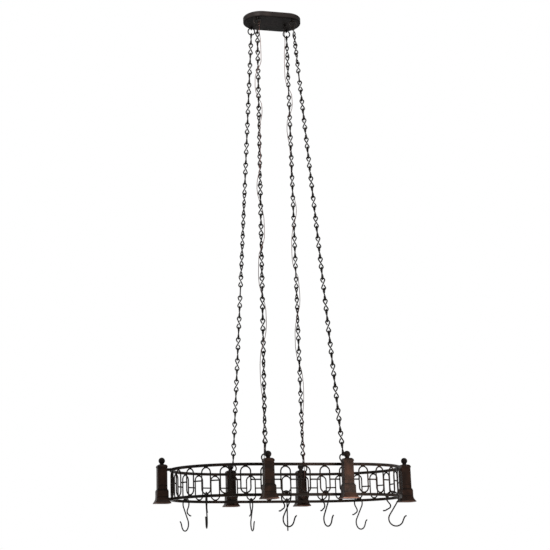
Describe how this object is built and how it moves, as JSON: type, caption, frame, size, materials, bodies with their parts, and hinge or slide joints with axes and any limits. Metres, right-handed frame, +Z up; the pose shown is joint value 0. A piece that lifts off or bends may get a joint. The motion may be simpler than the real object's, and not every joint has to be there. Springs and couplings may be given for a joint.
{
  "type": "hanging pot rack",
  "caption": "Oval hanging pot rack: two square-bar hoops filled with tall rod loops and joined by square posts, hung on long chains from an oval ceiling canopy, with loose S-shaped pot hooks.",
  "frame": {"origin": "middle of the canopy's back, on the ceiling, between the joist screw holes", "axes": "+Z up into the ceiling, X along the oval's long axis, -Y towards the near side"},
  "size_m": [1.196, 0.772, 2.4466],
  "materials": {
    "iron": "dark bronze paint, satin",
    "chain_iron": "dark bronze paint, satin",
    "hook_iron": "black paint, satin",
    "post_bronze": "reddish bronze paint with dark glaze",
    "canopy_bronze": "dark bronze paint, satin",
    "zinc": "zinc plated",
    "lead_brown": "brown insulation",
    "bushing_black": "matte"
  },
  "bodies": {
    "canopy": {"crossbar": "zinc", "crossbar_studs": "zinc", "cap_nuts": "canopy_bronze", "canopy_shell": "canopy_bronze", "canopy_staples": "chain_iron", "staple_nuts": "zinc", "canopy_bushings": "bushing_black"},
    "canopy_ring_far_left": {"canopy_ring_far_left": "chain_iron"},
    "chain_far_left": {"chain_far_left": "chain_iron"},
    "rack_ring_far_left": {"rack_ring_far_left": "chain_iron"},
    "canopy_ring_near_left": {"canopy_ring_near_left": "chain_iron"},
    "chain_near_left": {"chain_near_left": "chain_iron", "lead_near_left": "lead_brown"},
    "rack_ring_near_left": {"rack_ring_near_left": "chain_iron"},
    "canopy_ring_far_right": {"canopy_ring_far_right": "chain_iron"},
    "chain_far_right": {"chain_far_right": "chain_iron", "lead_far_right": "lead_brown"},
    "rack_ring_far_right": {"rack_ring_far_right": "chain_iron"},
    "canopy_ring_near_right": {"canopy_ring_near_right": "chain_iron"},
    "chain_near_right": {"chain_near_right": "chain_iron"},
    "rack_ring_near_right": {"rack_ring_near_right": "chain_iron"},
    "rack": {"rack_staples": "iron", "top_hoop": "iron", "bottom_hoop": "iron", "loops_left_near": "iron", "loops_near": "iron", "loops_right_near": "iron", "loops_right_far": "iron", "loops_far": "iron", "loops_left_far": "iron", "loops_at_posts": "iron", "tie_bars": "iron", "post_tenons": "iron", "post_base_left": "post_bronze", "post_base_near_left": "post_bronze", "post_base_near_right": "post_bronze", "post_base_right": "post_bronze", "post_base_far_right": "post_bronze", "post_base_far_left": "post_bronze", "post_shaft_left": "post_bronze", "post_shaft_near_left": "post_bronze", "post_shaft_near_right": "post_bronze", "post_shaft_right": "post_bronze", "post_shaft_far_right": "post_bronze", "post_shaft_far_left": "post_bronze", "post_caps": "post_bronze", "post_finials": "post_bronze", "post_tie_rods": "zinc", "foot_nuts": "zinc", "post_bushings": "bushing_black"},
    "pot_hook_1": {"pot_hook_1": "hook_iron"},
    "pot_hook_2": {"pot_hook_2": "hook_iron"},
    "pot_hook_3": {"pot_hook_3": "hook_iron"},
    "pot_hook_4": {"pot_hook_4": "hook_iron"},
    "pot_hook_5": {"pot_hook_5": "hook_iron"},
    "pot_hook_6": {"pot_hook_6": "hook_iron"},
    "pot_hook_7": {"pot_hook_7": "hook_iron"},
    "pot_hook_8": {"pot_hook_8": "hook_iron"}
  },
  "joints": [
    {"name": "swing_long", "type": "hinge", "parent": "canopy", "child": "canopy_ring_far_left", "pos_m": [-0.089, 0.057, -0.0365], "axis": [0, 1, 0], "range_deg": [-3, 3]},
    {"name": "swing_cross", "type": "hinge", "parent": "canopy_ring_far_left", "child": "chain_far_left", "pos_m": [-0.09004, 0.06008, -0.063], "axis": [1, 0, 0], "range_deg": [-3, 3]},
    {"name": "rack_ring_far_left_tilt", "type": "hinge", "parent": "chain_far_left", "child": "rack_ring_far_left", "pos_m": [-0.17173, 0.30192, -2.14108], "axis": [1, 0, 0], "range_deg": [-0.75, 0.75]},
    {"name": "rack_tilt", "type": "hinge", "parent": "rack_ring_far_left", "child": "rack", "pos_m": [-0.17277, 0.305, -2.16758], "axis": [0, 1, 0], "range_deg": [-1.7, 1.7]},
    {"name": "canopy_ring_near_left_swing", "type": "hinge", "parent": "canopy", "child": "canopy_ring_near_left", "pos_m": [-0.089, -0.057, -0.0365], "axis": [0, 1, 0], "range_deg": [-3.2, 3.2]},
    {"name": "chain_near_left_swing", "type": "hinge", "parent": "canopy_ring_near_left", "child": "chain_near_left", "pos_m": [-0.09004, -0.06008, -0.063], "axis": [1, 0, 0], "range_deg": [-3.2, 3.2]},
    {"name": "rack_ring_near_left_tilt", "type": "hinge", "parent": "rack", "child": "rack_ring_near_left", "pos_m": [-0.17277, -0.305, -2.16758], "axis": [0, 1, 0], "range_deg": [-1.7, 1.7]},
    {"name": "canopy_ring_far_right_swing", "type": "hinge", "parent": "canopy", "child": "canopy_ring_far_right", "pos_m": [0.089, 0.057, -0.0365], "axis": [0, 1, 0], "range_deg": [-3.2, 3.2]},
    {"name": "chain_far_right_swing", "type": "hinge", "parent": "canopy_ring_far_right", "child": "chain_far_right", "pos_m": [0.09004, 0.06008, -0.063], "axis": [1, 0, 0], "range_deg": [-3.2, 3.2]},
    {"name": "rack_ring_far_right_tilt", "type": "hinge", "parent": "rack", "child": "rack_ring_far_right", "pos_m": [0.17277, 0.305, -2.16758], "axis": [0, 1, 0], "range_deg": [-1.7, 1.7]},
    {"name": "canopy_ring_near_right_swing", "type": "hinge", "parent": "canopy", "child": "canopy_ring_near_right", "pos_m": [0.089, -0.057, -0.0365], "axis": [0, 1, 0], "range_deg": [-3.2, 3.2]},
    {"name": "chain_near_right_swing", "type": "hinge", "parent": "canopy_ring_near_right", "child": "chain_near_right", "pos_m": [0.09004, -0.06008, -0.063], "axis": [1, 0, 0], "range_deg": [-3.2, 3.2]},
    {"name": "rack_ring_near_right_tilt", "type": "hinge", "parent": "rack", "child": "rack_ring_near_right", "pos_m": [0.17277, -0.305, -2.16758], "axis": [0, 1, 0], "range_deg": [-1.7, 1.7]},
    {"name": "pot_hook_1_swing", "type": "hinge", "parent": "rack", "child": "pot_hook_1", "pos_m": [-0.41336, -0.22908, -2.30253], "axis": [0.9597, -0.2809, 0], "range_deg": [-20, 20]},
    {"name": "pot_hook_2_swing", "type": "hinge", "parent": "rack", "child": "pot_hook_2", "pos_m": [-0.08639, -0.305, -2.30253], "axis": [0.848, 0.5299, 0], "range_deg": [-20, 20]},
    {"name": "pot_hook_3_swing", "type": "hinge", "parent": "rack", "child": "pot_hook_3", "pos_m": [0.08639, -0.305, -2.30253], "axis": [0.9659, 0.2588, 0], "range_deg": [-20, 20]},
    {"name": "pot_hook_4_swing", "type": "hinge", "parent": "rack", "child": "pot_hook_4", "pos_m": [0.41336, -0.22908, -2.30253], "axis": [0.4017, 0.9158, 0], "range_deg": [-20, 20]},
    {"name": "pot_hook_5_swing", "type": "hinge", "parent": "rack", "child": "pot_hook_5", "pos_m": [0.41336, 0.22908, -2.30253], "axis": [-0.48, 0.8773, 0], "range_deg": [-20, 20]},
    {"name": "pot_hook_6_swing", "type": "hinge", "parent": "rack", "child": "pot_hook_6", "pos_m": [0.08639, 0.305, -2.30253], "axis": [-0.9613, 0.2756, 0], "range_deg": [-20, 20]},
    {"name": "pot_hook_7_swing", "type": "hinge", "parent": "rack", "child": "pot_hook_7", "pos_m": [-0.08639, 0.305, -2.30253], "axis": [-0.891, 0.454, 0], "range_deg": [-20, 20]},
    {"name": "pot_hook_8_swing", "type": "hinge", "parent": "rack", "child": "pot_hook_8", "pos_m": [-0.41336, 0.22908, -2.30253], "axis": [-0.9437, -0.3308, 0], "range_deg": [-20, 20]}
  ],
  "couplings": [
    {"joint": "rack_ring_far_left_tilt", "follows": "swing_cross", "ratio": -0.1987},
    {"joint": "rack_tilt", "follows": "swing_long", "ratio": -0.515},
    {"joint": "canopy_ring_near_left_swing", "follows": "swing_long", "ratio": 1},
    {"joint": "chain_near_left_swing", "follows": "swing_cross", "ratio": 1},
    {"joint": "rack_ring_near_left_tilt", "follows": "swing_long", "ratio": 0.515},
    {"joint": "canopy_ring_far_right_swing", "follows": "swing_long", "ratio": 1},
    {"joint": "chain_far_right_swing", "follows": "swing_cross", "ratio": 1},
    {"joint": "rack_ring_far_right_tilt", "follows": "swing_long", "ratio": 0.515},
    {"joint": "canopy_ring_near_right_swing", "follows": "swing_long", "ratio": 1},
    {"joint": "chain_near_right_swing", "follows": "swing_cross", "ratio": 1},
    {"joint": "rack_ring_near_right_tilt", "follows": "swing_long", "ratio": 0.515}
  ]
}
